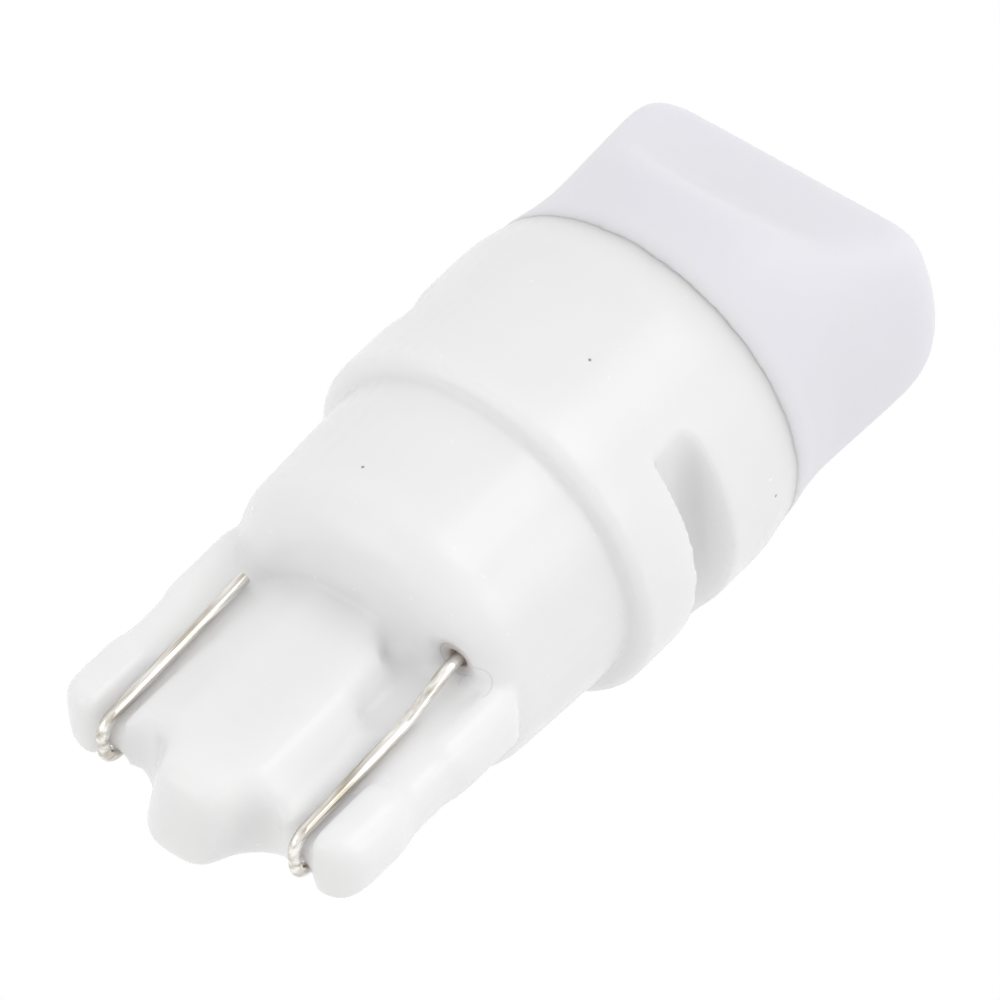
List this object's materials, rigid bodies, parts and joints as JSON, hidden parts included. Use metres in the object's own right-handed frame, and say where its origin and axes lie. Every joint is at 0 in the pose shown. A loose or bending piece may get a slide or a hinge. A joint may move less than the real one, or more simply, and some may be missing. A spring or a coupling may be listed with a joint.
{
  "type": "wedge base led bulb",
  "caption": "LED bulb with a flat wedge plug, folded wire contacts, a round neck, a wider white head with side slots, and a milky lens scooped on its broad sides.",
  "frame": {"origin": "centre of the head's underside, the flat ring that stops against the lamp holder", "axes": "+Z along the bulb towards the lens, X along the broad width of the plug, Y through the plug's thickness, with -Y the face seen in the picture"},
  "size_m": [0.0106, 0.0106, 0.0245],
  "materials": {
    "housing_plastic": "glossy",
    "lens_plastic": "satin",
    "clear_glue": "glossy",
    "board_laminate": "satin",
    "emitter_plastic": "matte",
    "phosphor_silicone": "glossy",
    "chip_plastic": "matte",
    "resistor_ceramic": "satin",
    "solder": "glossy",
    "tinned_wire": "glossy"
  },
  "bodies": {
    "root": {"housing": "housing_plastic", "lens": "lens_plastic", "lens_glue": "clear_glue", "led_board": "board_laminate", "emitter_back": "emitter_plastic", "emitter_front": "emitter_plastic", "phosphor_back": "phosphor_silicone", "phosphor_front": "phosphor_silicone", "bridge_rectifier": "chip_plastic", "current_regulator": "chip_plastic", "resistor_left": "resistor_ceramic", "resistor_right": "resistor_ceramic", "solder_right": "solder", "solder_left": "solder", "wire_right": "tinned_wire", "wire_left": "tinned_wire"}
  },
  "joints": []
}
